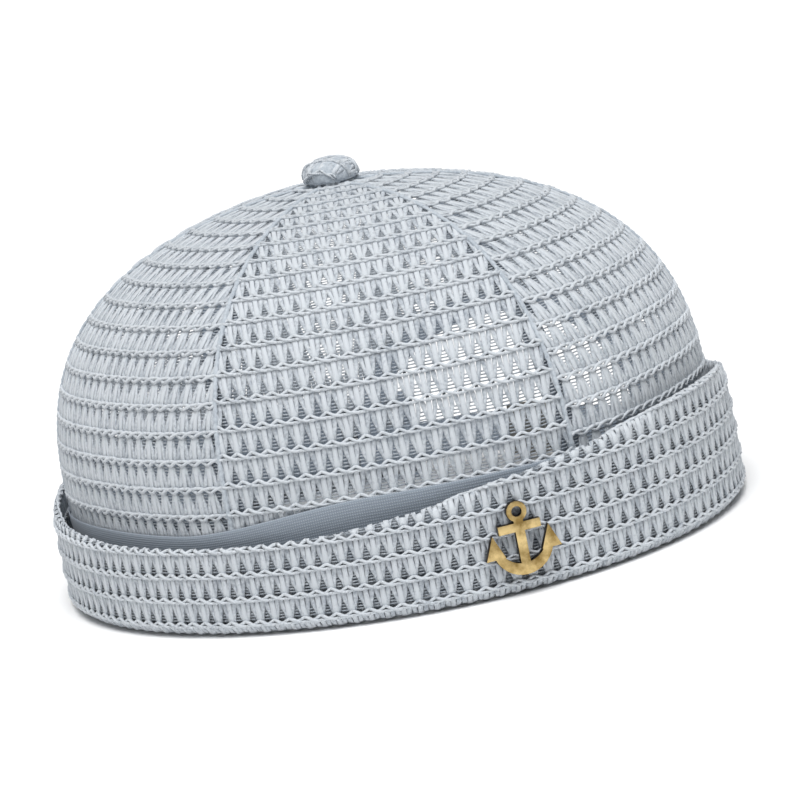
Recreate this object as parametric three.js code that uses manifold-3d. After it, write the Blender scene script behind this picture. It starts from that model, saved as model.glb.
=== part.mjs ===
// A brimless cap of open knitted net: six crown panels, a covered button, a turned-up cuff,
// and an arched opening at the back that a strap closes.
// Millimetres. +X is the wearer's left, -Y the front and +Z up. The cap stands on its cuff at z = 0.
// An angle is counted from the front towards the wearer's left.

import * as THREE from 'three';
import { mergeVertices } from 'three/addons/utils/BufferGeometryUtils.js';
import Module from 'manifold-3d';

const wasm = await Module();
wasm.setup();

// Fit between pieces
const gap = 0.3; // clear space between pieces that touch
const facetSlack = 0.3; // more space where a facet of one piece faces a corner of another

// Crown
const crownHalfWidth = 100; // over the net at the base, ear to ear
const crownHalfDepth = 88; // over the net at the base, front to back
const crownHeight = 117;
const shoulderPower = 4.32; // a higher power keeps the wall upright for longer
const crownBulge = 0.06; // share of the radius by which the wall swells out over the base
const bulgePower = 0.75; // a lower power brings the widest level down towards the cuff
const footLean = 0.3; // rise of the level foot of a piece for each millimetre it stands off the leaning wall
const seamRidge = 0.012; // share of the radius by which a seam stands out
const netThickness = 1.8;
const panelCount = 6;
const panelNames = ['front_left', 'side_left', 'back_left', 'back_right', 'side_right', 'front_right'];

// Inside of the crown
const tapeWidth = 8;
const tapeThickness = 0.8;
const tapeStopRadius = 9; // the tapes end in a ring of this radius under the button
const sweatbandHeight = 30;
const sweatbandThickness = 1.5;

// Cuff
const cuffStand = 12.3; // how far its outside stands off the base of the crown
const cuffThickness = 3; // the net is folded double
const cuffRoll = 4; // radius of the roll along the bottom edge
const cuffSeat = 4.4; // how far the sewn edge reaches in under the crown and the sweatband
const cuffHeightFront = 27.6;
const cuffHeightBack = 26.5;
const cuffHeightLeft = 42.6;
const cuffHeightRight = 34.8;
const cuffGapHalfWidth = 44; // the cuff stops this far each side of the middle of the back

// Opening at the back and its strap
const archHalfWidth = 50;
const archRise = 35; // from the strap's top edge to the top of the arch
const bindingWidth = 8;
const bindingThickness = 1;
const strapHeight = 14.2;
const strapThickness = 2;
const strapTuck = 12; // how far each end runs on behind the cuff
const buckleLength = 14;
const buckleWall = 1.2;

// Button
const buttonRadius = 9.2;
const buttonHeight = 7.2;
const buttonHoleRadius = 6; // round hole that the panels leave at the top
const buttonStemLength = 5;

// Emblem
const emblemWidth = 23;
const emblemHeight = 22;
const emblemThickness = 2;
const emblemAngle = THREE.MathUtils.degToRad(46.5);
const emblemMiddleHeight = 17.5;
const stockLift = 0.15 * emblemHeight; // the anchor's crossbar and both posts lie this far above its middle
const postRadius = 1;
const postSpacing = 8;
const claspThickness = 1;

// Coarse net: the gaps in one panel, by share of the way from its bottom edge to its top edge
const panelNet = [
  { from: 0.15, to: 0.28, gaps: 4 },
  { from: 0.3, to: 0.43, gaps: 4 },
  { from: 0.45, to: 0.57, gaps: 3 },
  { from: 0.59, to: 0.7, gaps: 3 },
  { from: 0.72, to: 0.82, gaps: 2 },
];
const panelNetShift = 0.025; // every other panel has its rows this much higher
const panelNetOpen = 0.62; // share of a mesh's width that is open at its foot
const meshTaper = 0.45; // width of a mesh's head as a share of its foot
const cuffNetGaps = 26;
const cuffNetOpen = 0.5;
const cuffNetHeight = 0.45; // share of the cuff's height

// Finishes
const netCloth = { color: '#c0c8d1', roughness: 0.9, metalness: 0 };
const plainCloth = { color: '#a5aeb9', roughness: 0.95, metalness: 0 };
const agedBrass = { color: '#94753a', roughness: 0.4, metalness: 1 };
const darkMetal = { color: '#7d7a74', roughness: 0.45, metalness: 1 };

const cap = new THREE.Group();

function addPiece(name, geometry, finish) {
  const mesh = new THREE.Mesh(geometry, new THREE.MeshStandardMaterial(finish));
  mesh.name = name;
  cap.add(mesh);
  return mesh;
}

// Solids
function toSolid(geometry) {
  const bare = geometry.clone();
  bare.deleteAttribute('normal');
  bare.deleteAttribute('uv');
  const merged = mergeVertices(bare, 1e-4);
  const vertProperties = new Float32Array(merged.attributes.position.array);
  const triVerts = new Uint32Array(merged.index.array);
  return new wasm.Manifold(new wasm.Mesh({ numProp: 3, vertProperties, triVerts }));
}

function toGeometry(solid) {
  const mesh = solid.getMesh();
  const geometry = new THREE.BufferGeometry();
  geometry.setAttribute('position', new THREE.BufferAttribute(new Float32Array(mesh.vertProperties), 3));
  geometry.setIndex(new THREE.BufferAttribute(new Uint32Array(mesh.triVerts), 1));
  return geometry;
}

// A sheet with a wall, from a grid of points on its front and the matching grid on its back
function sheetGeometry(front, back) {
  const rows = front.length;
  const columns = front[0].length;
  const positions = [...front.flat(), ...back.flat()].flatMap((point) => point.toArray());
  const at = (side, row, column) => (side * rows + row) * columns + column;
  const index = [];
  const addQuad = (a, b, c, d) => index.push(a, b, c, a, c, d);
  for (let row = 0; row < rows - 1; row += 1) {
    for (let column = 0; column < columns - 1; column += 1) {
      const corners = [[row, column], [row, column + 1], [row + 1, column + 1], [row + 1, column]];
      addQuad(...corners.map((corner) => at(0, ...corner)));
      addQuad(...corners.reverse().map((corner) => at(1, ...corner)));
    }
    addQuad(at(0, row, 0), at(0, row + 1, 0), at(1, row + 1, 0), at(1, row, 0));
    const last = columns - 1;
    addQuad(at(0, row + 1, last), at(0, row, last), at(1, row, last), at(1, row + 1, last));
  }
  for (let column = 0; column < columns - 1; column += 1) {
    addQuad(at(0, 0, column + 1), at(0, 0, column), at(1, 0, column), at(1, 0, column + 1));
    const last = rows - 1;
    addQuad(at(0, last, column), at(0, last, column + 1), at(1, last, column + 1), at(1, last, column));
  }
  const geometry = new THREE.BufferGeometry();
  geometry.setAttribute('position', new THREE.Float32BufferAttribute(positions, 3));
  geometry.setIndex(index);
  return geometry;
}

// Form of the crown: its profile from the base to the top, walked off by length
const crownRadius = (crownHalfWidth + crownHalfDepth) / 2;
const meridian = makeMeridian();
const meridianLength = meridian.at(-1).length;

function makeMeridian() {
  const steps = 400;
  const points = [];
  for (let step = 0; step <= steps; step += 1) {
    const turn = (step / steps) ** 2 * Math.PI / 2;
    const height = crownHeight * Math.sin(turn) ** (2 / shoulderPower);
    const bulge = crownBulge * Math.sin(Math.PI * (height / crownHeight) ** bulgePower);
    const radius = step === steps ? 0 : Math.cos(turn) * (1 + bulge);
    const last = points.at(-1);
    const stride = last ? Math.hypot((radius - last.radius) * crownRadius, height - last.height) : 0;
    points.push({ radius, height, length: (last ? last.length : 0) + stride });
  }
  return points;
}

// Where a rising column of the meridian's table passes a value, and another column's value there
function readMeridian(known, value, wanted) {
  const rising = (point) => (known === 'radius' ? -point.radius : point[known]);
  const target = known === 'radius' ? -value : value;
  const next = Math.max(1, meridian.findIndex((point) => rising(point) >= target));
  const before = meridian[next - 1];
  const after = meridian[next];
  const way = THREE.MathUtils.clamp((target - rising(before)) / (rising(after) - rising(before)), 0, 1);
  return THREE.MathUtils.lerp(before[wanted], after[wanted], way);
}

const lengthAtHeight = (height) => readMeridian('height', height, 'length');
const lengthAtRadius = (radius) => readMeridian('radius', radius / crownRadius, 'length');
const radiusAtLength = (length) => crownRadius * readMeridian('length', length, 'radius');

function crownSurface(angle, length) {
  const radius = readMeridian('length', length, 'radius') * (1 + seamRidge * Math.cos(panelCount * angle));
  const height = readMeridian('length', length, 'height');
  const x = crownHalfWidth * radius * Math.sin(angle);
  const y = -crownHalfDepth * radius * Math.cos(angle);
  return new THREE.Vector3(x, y, height);
}

function crownFrame(angle, length) {
  const step = 1e-3;
  const low = Math.max(0, length - 0.5);
  const high = Math.min(meridianLength - 0.5, length + 0.5);
  const along = crownSurface(angle + step, length).sub(crownSurface(angle - step, length)).normalize();
  const up = crownSurface(angle, high).sub(crownSurface(angle, low)).normalize();
  const out = new THREE.Vector3().crossVectors(along, up).normalize();
  return { along, up: new THREE.Vector3().crossVectors(out, along), out };
}

// A point so far inside the crown's outer face, or outside it where the depth is negative.
// Between two rows it lies on the panels' flat facets, so that pieces keep an even space to them.
function crownPoint(angle, length, depth) {
  const onRow = (row) => crownSurface(angle, row).addScaledVector(crownFrame(angle, row).out, -depth);
  const found = panelLengths.findIndex((row) => row >= length);
  const next = found < 0 ? panelLengths.length - 1 : Math.max(1, found);
  const low = panelLengths[next - 1];
  const high = panelLengths[next];
  return onRow(low).lerp(onRow(high), (length - low) / (high - low));
}

function crownSheet({ lengths, anglesAt, outerDepth, innerDepth }) {
  const row = (length, depth) => anglesAt(length).map((angle) => crownPoint(angle, length, depth));
  const grid = (depth) => lengths.map((length) => row(length, depth));
  return sheetGeometry(grid(outerDepth), grid(innerDepth));
}

// A plan line round the cap: the base of the crown, grown by a distance
function planPoint(angle, grow, height) {
  const x = (crownHalfWidth + grow) * Math.sin(angle);
  const y = -(crownHalfDepth + grow) * Math.cos(angle);
  return new THREE.Vector3(x, y, height);
}

const planOut = (angle, grow) => new THREE.Vector3(
  (crownHalfDepth + grow) * Math.sin(angle), -(crownHalfWidth + grow) * Math.cos(angle), 0,
).normalize();

function spread(from, to, count) {
  return Array.from({ length: count + 1 }, (_, step) => THREE.MathUtils.lerp(from, to, step / count));
}

// Levels that the pieces share
const baseHeight = cuffThickness + gap;
const panelAngle = 2 * Math.PI / panelCount;
const panelColumns = 6;
const columnAngle = panelAngle / panelColumns;
const panelBottom = lengthAtHeight(baseHeight);
const panelTop = lengthAtRadius(buttonHoleRadius);
const panelLengths = spread(panelBottom, panelTop, 10);
const strapTop = baseHeight + strapHeight;
const sweatbandTop = baseHeight + sweatbandHeight;
const backAngle = Math.PI;

// Outline of one open mesh: wide at its foot, narrow at its head
function meshShape(width, height) {
  const foot = width / 2;
  const head = foot * meshTaper;
  const corners = [[-foot, -height / 2], [foot, -height / 2], [head, height / 2], [-head, height / 2]];
  return new THREE.Shape(corners.map(([x, y]) => new THREE.Vector2(x, y)));
}

// A bar of that outline that pierces a wall at a place, along its normal
function meshCutter(width, height, { along, up, out }, place) {
  const halfDepth = 3 * netThickness;
  const bar = new THREE.ExtrudeGeometry(
    meshShape(width, height), { depth: 2 * halfDepth, bevelEnabled: false },
  );
  bar.translate(0, 0, -halfDepth);
  bar.applyMatrix4(new THREE.Matrix4().makeBasis(along, up, out).setPosition(place));
  return toSolid(bar);
}

// The arch at the back, grown by a margin, as a bar along Y
function archBar(margin) {
  const halfWidth = archHalfWidth + margin;
  const shape = new THREE.Shape();
  shape.moveTo(-halfWidth, -crownHeight);
  shape.lineTo(halfWidth, -crownHeight);
  shape.absellipse(0, strapTop, halfWidth, archRise + margin, 0, Math.PI, false);
  const reach = crownHalfDepth * 2;
  const bar = new THREE.ExtrudeGeometry(shape, { depth: reach, bevelEnabled: false, curveSegments: 9 });
  bar.rotateX(Math.PI / 2);
  bar.translate(0, reach, 0);
  return toSolid(bar);
}

function nearArch(point, margin) {
  const across = point.x / (archHalfWidth + margin);
  const up = Math.max(0, point.z - strapTop) / (archRise + margin);
  return point.y > 0 && Math.hypot(across, up) < 1;
}

// Crown panels
function panelAngles(number) {
  const from = number * panelAngle;
  return (length) => {
    const clear = gap / 2 / radiusAtLength(length);
    return spread(from + clear, from + panelAngle - clear, panelColumns);
  };
}

function panelCutters(number) {
  const shift = (number % 2) * panelNetShift;
  const cutters = [];
  for (const { from, to, gaps } of panelNet) {
    const low = THREE.MathUtils.lerp(panelBottom, panelTop, from + shift);
    const high = THREE.MathUtils.lerp(panelBottom, panelTop, to + shift);
    const middle = (low + high) / 2;
    const meshAngle = panelAngle / (gaps + 0.5);
    const width = meshAngle * radiusAtLength(high) * panelNetOpen;
    for (let count = 0; count < gaps; count += 1) {
      const angle = number * panelAngle + panelAngle / 2 + (count - (gaps - 1) / 2) * meshAngle;
      const place = crownSurface(angle, middle);
      if (!nearArch(place, bindingWidth + (high - low) / 2 + netThickness)) {
        cutters.push(meshCutter(width, high - low, crownFrame(angle, middle), place));
      }
    }
  }
  return cutters;
}

function makePanel(number) {
  const shell = crownSheet({
    lengths: panelLengths, anglesAt: panelAngles(number), outerDepth: 0, innerDepth: netThickness,
  });
  let panel = toSolid(shell);
  for (const cutter of panelCutters(number)) {
    panel = panel.subtract(cutter);
  }
  return toGeometry(panel.subtract(archBar(bindingThickness + gap)));
}

// Seam tapes, which hide each seam from the inside
const insideDepth = netThickness + gap + facetSlack;

function makeTape(number) {
  const angle = number * panelAngle;
  const overArch = number * 2 === panelCount;
  const archTop = strapTop + archRise + bindingWidth + tapeThickness; // the wall leans in at this height
  const start = lengthAtHeight((overArch ? archTop : sweatbandTop) + gap + facetSlack);
  const stop = lengthAtRadius(tapeStopRadius);
  const lengths = [start, ...panelLengths.filter((length) => length > start + 2 && length < stop - 2), stop];
  const anglesAt = (length) => {
    const half = tapeWidth / 2 / radiusAtLength(length);
    return [angle - half, angle, angle + half];
  };
  return crownSheet({ lengths, anglesAt, outerDepth: insideDepth, innerDepth: insideDepth + tapeThickness });
}

// Sweatband, from one leg of the arch round the front to the other
function makeSweatband() {
  const legX = archHalfWidth + bindingWidth + gap + facetSlack;
  const footHalfWidth = crownHalfWidth * readMeridian('length', panelBottom, 'radius');
  const end = Math.PI - Math.asin(legX / (footHalfWidth - insideDepth - sweatbandThickness));
  const inner = Math.floor(end / columnAngle - 0.1) * columnAngle;
  const angles = [-end, ...spread(-inner, inner, Math.round(2 * inner / columnAngle)), end];
  return crownSheet({
    lengths: [panelBottom, lengthAtHeight(sweatbandTop)],
    anglesAt: () => angles,
    outerDepth: insideDepth,
    innerDepth: insideDepth + sweatbandThickness,
  });
}

// Binding, folded over the edge of the arch
function makeBinding() {
  const halfSpan = Math.asin((archHalfWidth + bindingWidth) / crownHalfWidth) + columnAngle;
  const columns = Math.ceil(halfSpan / columnAngle);
  const angles = spread(backAngle - columns * columnAngle, backAngle + columns * columnAngle, 2 * columns);
  const top = lengthAtHeight(strapTop + archRise + bindingWidth);
  const lengths = panelLengths.slice(1, panelLengths.findIndex((length) => length > top) + 2);
  const wrap = (room, start) => toSolid(crownSheet({
    lengths: [start, ...lengths], anglesAt: () => angles, outerDepth: -room, innerDepth: netThickness + room,
  }));
  const slot = wrap(gap, 0).subtract(archBar(bindingThickness));
  const foot = lengthAtHeight(baseHeight + footLean * (gap + bindingThickness));
  const folded = wrap(gap + bindingThickness, foot).intersect(archBar(bindingWidth));
  return toGeometry(folded.subtract(archBar(0)).subtract(slot));
}

// Cuff: the line of the folded net in section, from its sewn edge out, round the roll and up.
// reach is the share of the way out, roll the share of the roll's height, rise the share above it.
const cuffLine = [
  { reach: 0, roll: 0, rise: 0 },
  { reach: 0.76, roll: 0, rise: 0 },
  { reach: 0.93, roll: 0.3, rise: 0 },
  { reach: 1, roll: 1, rise: 0 },
  { reach: 1.01, roll: 1, rise: 0.5 },
  { reach: 0.98, roll: 1, rise: 1 },
];
const cuffEdgeRound = 0.28; // share of the thickness by which the top edge is rounded

function cuffHeight(angle) {
  const frontOrBack = Math.cos(angle) > 0 ? cuffHeightFront : cuffHeightBack;
  const leftOrRight = Math.sin(angle) > 0 ? cuffHeightLeft : cuffHeightRight;
  return frontOrBack * Math.cos(angle) ** 2 + leftOrRight * Math.sin(angle) ** 2;
}

function cuffOutside(angle) {
  const upright = cuffHeight(angle) - cuffRoll - cuffEdgeRound * cuffThickness;
  return cuffLine.map(({ reach, roll, rise }) => new THREE.Vector2(
    THREE.MathUtils.lerp(-cuffSeat, cuffStand, reach), roll * cuffRoll + rise * upright,
  ));
}

function offsetLine(line, distance) {
  return line.map((point, step) => {
    const before = line[Math.max(0, step - 1)];
    const after = line[Math.min(line.length - 1, step + 1)];
    const way = after.clone().sub(before).normalize();
    return new THREE.Vector2(point.x - way.y * distance, point.y + way.x * distance);
  });
}

function cuffSection(angle) {
  const outside = cuffOutside(angle);
  const inside = offsetLine(outside, cuffThickness);
  inside[0].set(outside[0].x, cuffThickness);
  inside[inside.length - 1].y = outside.at(-1).y;
  const top = cuffHeight(angle);
  const inset = cuffEdgeRound * cuffThickness;
  outside.push(new THREE.Vector2(outside.at(-1).x - inset, top));
  inside.push(new THREE.Vector2(inside.at(-1).x + inset, top));
  return { outside, inside };
}

const emblemGrow = cuffStand + gap;
const emblemOut = planOut(emblemAngle, emblemGrow);
const emblemAlong = new THREE.Vector3(-emblemOut.y, emblemOut.x, 0);
const emblemUp = new THREE.Vector3(0, 0, 1);
const emblemPlace = planPoint(emblemAngle, emblemGrow, emblemMiddleHeight);

function emblemMatrix(outward) {
  const place = emblemPlace.clone().addScaledVector(emblemOut, outward);
  return new THREE.Matrix4().makeBasis(emblemAlong, emblemUp, emblemOut).setPosition(place);
}

function makePosts(radius, from, to) {
  return [-1, 1].map((side) => {
    const post = new THREE.CylinderGeometry(radius, radius, to - from, 12);
    post.rotateX(Math.PI / 2);
    post.translate(side * postSpacing / 2, stockLift, (from + to) / 2);
    return post;
  });
}

function makeCuff() {
  const end = Math.PI - Math.asin(cuffGapHalfWidth / (crownHalfWidth + cuffStand));
  const columns = 34;
  const sections = spread(-end, end, columns).map((angle) => ({ angle, ...cuffSection(angle) }));
  const rows = sections[0].outside.length;
  const grid = (side) => Array.from({ length: rows }, (_, row) => sections.map(
    (section) => planPoint(section.angle, section[side][row].x, section[side][row].y),
  ));
  let cuff = toSolid(sheetGeometry(grid('outside'), grid('inside')));
  const meshAngle = 2 * end / cuffNetGaps;
  const width = meshAngle * crownRadius * cuffNetOpen;
  const emblemShare = (emblemWidth / 2 + width) / crownRadius;
  for (let count = 0; count < cuffNetGaps; count += 1) {
    const angle = -end + (count + 0.5) * meshAngle;
    if (Math.abs(angle - emblemAngle) > emblemShare) {
      const out = planOut(angle, cuffStand);
      const along = new THREE.Vector3(-out.y, out.x, 0);
      const place = planPoint(angle, cuffStand - cuffThickness / 2, (cuffHeight(angle) + cuffRoll) / 2);
      const height = cuffHeight(angle) * cuffNetHeight;
      cuff = cuff.subtract(meshCutter(width, height, { along, up: emblemUp, out }, place));
    }
  }
  for (const hole of makePosts(postRadius + gap, -3 * cuffThickness, cuffThickness)) {
    cuff = cuff.subtract(toSolid(hole.applyMatrix4(emblemMatrix(0))));
  }
  return toGeometry(cuff);
}

// Emblem: a ship's anchor, with two plain posts through the cuff
function plate(shape) {
  return toSolid(new THREE.ExtrudeGeometry(
    shape, { depth: emblemThickness, bevelEnabled: false, curveSegments: 8 },
  ));
}

function bar(x, y, width, height) {
  const shape = new THREE.Shape();
  shape.moveTo(x - width / 2, y - height / 2);
  shape.lineTo(x + width / 2, y - height / 2);
  shape.lineTo(x + width / 2, y + height / 2);
  shape.lineTo(x - width / 2, y + height / 2);
  return plate(shape);
}

function makeEmblem() {
  const half = emblemHeight / 2;
  const ringRadius = emblemHeight * 0.14;
  const ringWidth = emblemHeight * 0.07;
  const ringY = half - ringRadius;
  const shankWidth = emblemHeight * 0.13;
  const armRadius = emblemWidth * 0.4;
  const armY = armRadius - half;
  const shankTop = ringY - ringRadius + ringWidth;
  const shankFoot = armRadius * 0.2 - half;
  const fluke = emblemWidth * 0.13;
  const ring = new THREE.Shape();
  ring.absarc(0, ringY, ringRadius, 0, 2 * Math.PI, false);
  const eye = new THREE.Path();
  eye.absarc(0, ringY, ringRadius - ringWidth, 0, 2 * Math.PI, true);
  ring.holes.push(eye);
  const arms = new THREE.Shape();
  const armTurn = Math.PI * 0.03;
  arms.absarc(0, armY, armRadius, Math.PI + armTurn, 2 * Math.PI - armTurn, false);
  arms.absarc(0, armY + armRadius * 0.2, armRadius * 0.82, -armTurn, Math.PI + armTurn, true);
  let emblem = plate(ring)
    .add(bar(0, (shankTop + shankFoot) / 2, shankWidth, shankTop - shankFoot))
    .add(bar(0, stockLift, emblemWidth * 0.56, emblemHeight * 0.12))
    .add(plate(arms));
  for (const side of [-1, 1]) {
    const tip = new THREE.Shape();
    const x = side * (emblemWidth / 2 - fluke);
    const corners = [[x - fluke, armY - fluke], [x + fluke, armY - fluke], [x, armY + fluke * 1.4]];
    tip.setFromPoints(corners.map(([cornerX, cornerY]) => new THREE.Vector2(cornerX, cornerY)));
    emblem = emblem.add(plate(tip));
  }
  for (const post of makePosts(postRadius, -gap - cuffThickness, emblemThickness / 2)) {
    emblem = emblem.add(toSolid(post));
  }
  return toGeometry(emblem);
}

function makeClasp() {
  const end = postRadius * 2.4;
  const shape = new THREE.Shape();
  shape.absarc(postSpacing / 2, stockLift, end, -Math.PI / 2, Math.PI / 2, false);
  shape.absarc(-postSpacing / 2, stockLift, end, Math.PI / 2, 1.5 * Math.PI, false);
  return new THREE.ExtrudeGeometry(shape, { depth: claspThickness, bevelEnabled: false, curveSegments: 6 });
}

// Strap across the opening, and its buckle
const strapDepth = -(bindingThickness + 2 * gap);
const strapFoot = baseHeight + footLean * (strapThickness - strapDepth);

function makeStrap() {
  const end = Math.asin((cuffGapHalfWidth + strapTuck) / crownHalfWidth);
  const inner = Math.floor(end / columnAngle - 0.1) * columnAngle;
  const columns = Math.round(2 * inner / columnAngle);
  const angles = [-end, ...spread(-inner, inner, columns), end].map((angle) => backAngle + angle);
  return crownSheet({
    lengths: [lengthAtHeight(strapFoot), lengthAtHeight(strapTop)],
    anglesAt: () => angles,
    outerDepth: strapDepth - strapThickness,
    innerDepth: strapDepth,
  });
}

function makeBuckle() {
  const sleeve = (halfLength, room) => toSolid(crownSheet({
    lengths: [lengthAtHeight(strapFoot - room), lengthAtHeight(strapTop + room)],
    anglesAt: () => spread(backAngle - halfLength, backAngle + halfLength, 2),
    outerDepth: strapDepth - strapThickness - room,
    innerDepth: strapDepth + room,
  }));
  const half = buckleLength / 2 / crownHalfWidth;
  const room = gap + facetSlack;
  return toGeometry(sleeve(half, room + buckleWall).subtract(sleeve(2 * half, room)));
}

// Button on top, with a stem through the round hole
function makeButton() {
  const stem = buttonHoleRadius - gap - facetSlack;
  const seat = gap;
  const profile = [
    [0, -buttonStemLength],
    [stem, -buttonStemLength],
    [stem, seat],
    [buttonRadius, seat],
    [buttonRadius, seat + buttonHeight * 0.3],
    [buttonRadius * 0.9, seat + buttonHeight * 0.65],
    [buttonRadius * 0.6, seat + buttonHeight * 0.92],
    [0, seat + buttonHeight],
  ];
  const points = profile.map(([radius, height]) => new THREE.Vector2(radius, height));
  const button = new THREE.LatheGeometry(points, 18);
  button.rotateX(Math.PI / 2);
  button.translate(0, 0, crownHeight);
  return toGeometry(toSolid(button));
}

for (let number = 0; number < panelCount; number += 1) {
  addPiece(`crown_panel_${panelNames[number]}`, makePanel(number), netCloth);
  addPiece(`seam_tape_${number + 1}`, makeTape(number), plainCloth);
}
addPiece('sweatband', makeSweatband(), plainCloth);
addPiece('arch_binding', makeBinding(), plainCloth);
addPiece('cuff', makeCuff(), netCloth);
addPiece('top_button', makeButton(), netCloth);
addPiece('emblem', makeEmblem(), agedBrass).applyMatrix4(emblemMatrix(0));
addPiece('emblem_clasp', makeClasp(), darkMetal)
  .applyMatrix4(emblemMatrix(-2 * gap - cuffThickness - facetSlack - claspThickness));
addPiece('back_strap', makeStrap(), plainCloth);
addPiece('strap_buckle', makeBuckle(), darkMetal);

// The origin is the middle of the cap's outer box, at its foot
cap.updateMatrixWorld(true);
const middle = new THREE.Box3().setFromObject(cap, true).getCenter(new THREE.Vector3());
cap.position.set(-middle.x, -middle.y, 0);
cap.updateMatrixWorld(true);

export default cap;
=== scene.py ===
# A brimless cap of open knitted net, dressed over its solids: six net panels with their seams, a folded
# cuff, a covered button, a brass emblem, and at the back an arch with its binding, strap and buckle.
# Sizes are in millimetres, and a mesh is turned to metres when it is made.
import math

import bmesh
import bpy
import numpy as np
from mathutils import Matrix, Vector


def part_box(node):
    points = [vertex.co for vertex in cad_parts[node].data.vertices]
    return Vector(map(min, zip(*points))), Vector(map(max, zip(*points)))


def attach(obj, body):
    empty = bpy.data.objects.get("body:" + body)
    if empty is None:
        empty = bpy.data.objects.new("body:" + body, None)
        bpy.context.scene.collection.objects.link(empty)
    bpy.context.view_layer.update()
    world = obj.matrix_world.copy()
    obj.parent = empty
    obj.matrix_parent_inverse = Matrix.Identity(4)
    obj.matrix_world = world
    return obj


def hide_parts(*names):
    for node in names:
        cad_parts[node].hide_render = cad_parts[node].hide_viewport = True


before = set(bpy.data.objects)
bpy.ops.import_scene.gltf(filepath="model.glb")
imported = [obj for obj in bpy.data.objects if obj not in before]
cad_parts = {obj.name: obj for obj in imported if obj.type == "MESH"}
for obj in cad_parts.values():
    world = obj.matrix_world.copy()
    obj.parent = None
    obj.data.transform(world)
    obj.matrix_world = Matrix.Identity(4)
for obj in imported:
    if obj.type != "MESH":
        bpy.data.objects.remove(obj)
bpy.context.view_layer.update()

MM = 0.001
SEED = 7
rng = np.random.default_rng(SEED)

# Crown
CROWN_HALF_WIDTH = 100
CROWN_HALF_DEPTH = 88
CROWN_RADIUS = (CROWN_HALF_WIDTH + CROWN_HALF_DEPTH) / 2
CROWN_HEIGHT = 117
SHOULDER_POWER = 4.32
CROWN_BULGE = 0.06
BULGE_POWER = 0.75
FOOT_LEAN = 0.3
SEAM_RIDGE = 0.012
PANEL_COUNT = 6
PANEL_ANGLE = 2 * math.pi / PANEL_COUNT
PANEL_NAMES = ["front_left", "side_left", "back_left", "back_right", "side_right", "front_right"]
NET_WALL = 1.8
TAPE_WIDTH = 8
TAPE_THICKNESS = 0.8
SWEATBAND_HEIGHT = 30
SWEATBAND_THICKNESS = 1.5
BAND_SECTIONS = 200
FOOT_BAND_LOW = 27
FOOT_BAND_HIGH = 33.2
FOOT_BAND_CLIMB = np.radians([-12, 24, 70, 100])
FOOT_BAND_FACE = 0.55
FOOT_BAND_BACK = 0.15

# Cuff
CUFF_STAND = 12.3
CUFF_THICKNESS = 3
CUFF_ROLL = 4
CUFF_HEIGHT_FRONT = 27.6
CUFF_HEIGHT_BACK = 26.5
CUFF_HEIGHT_LEFT = 42.6
CUFF_HEIGHT_RIGHT = 34.8
CUFF_GAP_HALF_WIDTH = 44
CUFF_HEM_WIDTH = 5
CUFF_LEAN = 0.33
CUFF_BELLY = 0.25
CUFF_TUCK = 3
CUFF_INNER_ROLL = 3
HEM_FACE = 0.95
HEM_EDGE = 0.6

# Arch, strap and buckle at the back
ARCH_HALF_WIDTH = 50
ARCH_RISE = 35
BINDING_WIDTH = 8
BINDING_THICKNESS = 1
STRAP_HEIGHT = 14.2
STRAP_THICKNESS = 2
STRAP_TUCK = 12
BUCKLE_LENGTH = 14
BUCKLE_WALL = 1.2

# Button and emblem
BUTTON_RADIUS = 9.2
BUTTON_HEIGHT = 7.2
BUTTON_HOLE_RADIUS = 6
BUTTON_ROW_HEIGHT = 5.6
BUTTON_PHASE = (0.3, 0.4)
BUTTON_SPAN = 60
BUTTON_SINK = 0.5
STEM_RADIUS = 5.4
STEM_LENGTH = 5
EMBLEM_ANGLE = math.radians(46.5)
METAL_EDGE = 0.35

# Fit
GAP = 0.3
BASE_HEIGHT = CUFF_THICKNESS + GAP
STRAP_TOP = BASE_HEIGHT + STRAP_HEIGHT
INSIDE_DEPTH = NET_WALL + 2 * GAP
STRAP_LIFT = BINDING_THICKNESS + 2 * GAP
STRAP_FOOT = BASE_HEIGHT + FOOT_LEAN * (STRAP_THICKNESS + STRAP_LIFT)

# Net: one mesh of it lies flat, from one upright strap to the next and from one cord to the next
MESH_WIDTH = 4.95
MESH_HEIGHT = 8.4
CROWN_ROW_HEIGHT = 8.4
CUFF_ROW_HEIGHT = 7.5
CUFF_FIRST_ROW = 4.4
NET_SINK = 0.7
NET_WOBBLE = 0.7
WOBBLE_SPACING = 3
CRUMB_SIZE = 1.0
CUT_SLACK = 0.0001
WELD_REACH = 0.0002

# Strands of one mesh: how deep they lie in the cloth, and half their width and height
STRAND_SIDES = 4
STRAP_HALF_HEIGHT = 0.17
STRAP_FLARE = 0.15
LOOP_HALF_HEIGHT = 0.18
LOOP_DEPTH = -0.2
RUNG_HALF_WIDTH = 0.23
RUNG_HALF_HEIGHT = 0.12
RUNG_DEPTH = -0.35
RUNG_SIDES = 3
CORD_HALF_WIDTH = 0.42
CORD_HALF_HEIGHT = 0.38
CORD_LIFT = 0.25
CORD_SWING = 0.75
CORD_SAG = 0.5
CORD_CROSSING = 0.15
CORD_POINTS = 6

# Painted light and shade on the strands: straps and cords painted lighter for the light they catch, rungs
# deep in the loop's hole painted darker, and painted shade where a strand dips deep into the cloth at the
# dimples
STRAND_PAINTED_LIGHT = {"strap": 0.5, "loop": 0, "rung": -0.3, "cord": 0.3}
PIT_DEPTH = -0.5
PIT_PAINTED_SHADE = -1.2

# Seams and tapes
SEAM_HALF_WIDTH = 0.75
SEAM_HALF_HEIGHT = 0.62
SEAM_SIDES = 8
SEAM_STEP = 0.8
SEAM_STAND = 0.15
STITCH_SPACING = 2.4
STITCH_SWELL = 0.22
TAPE_EDGE_STEP = 0.15
TAPE_EDGE_WIDTH = 0.4
TAPE_TOP_RADIUS = 9

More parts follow.
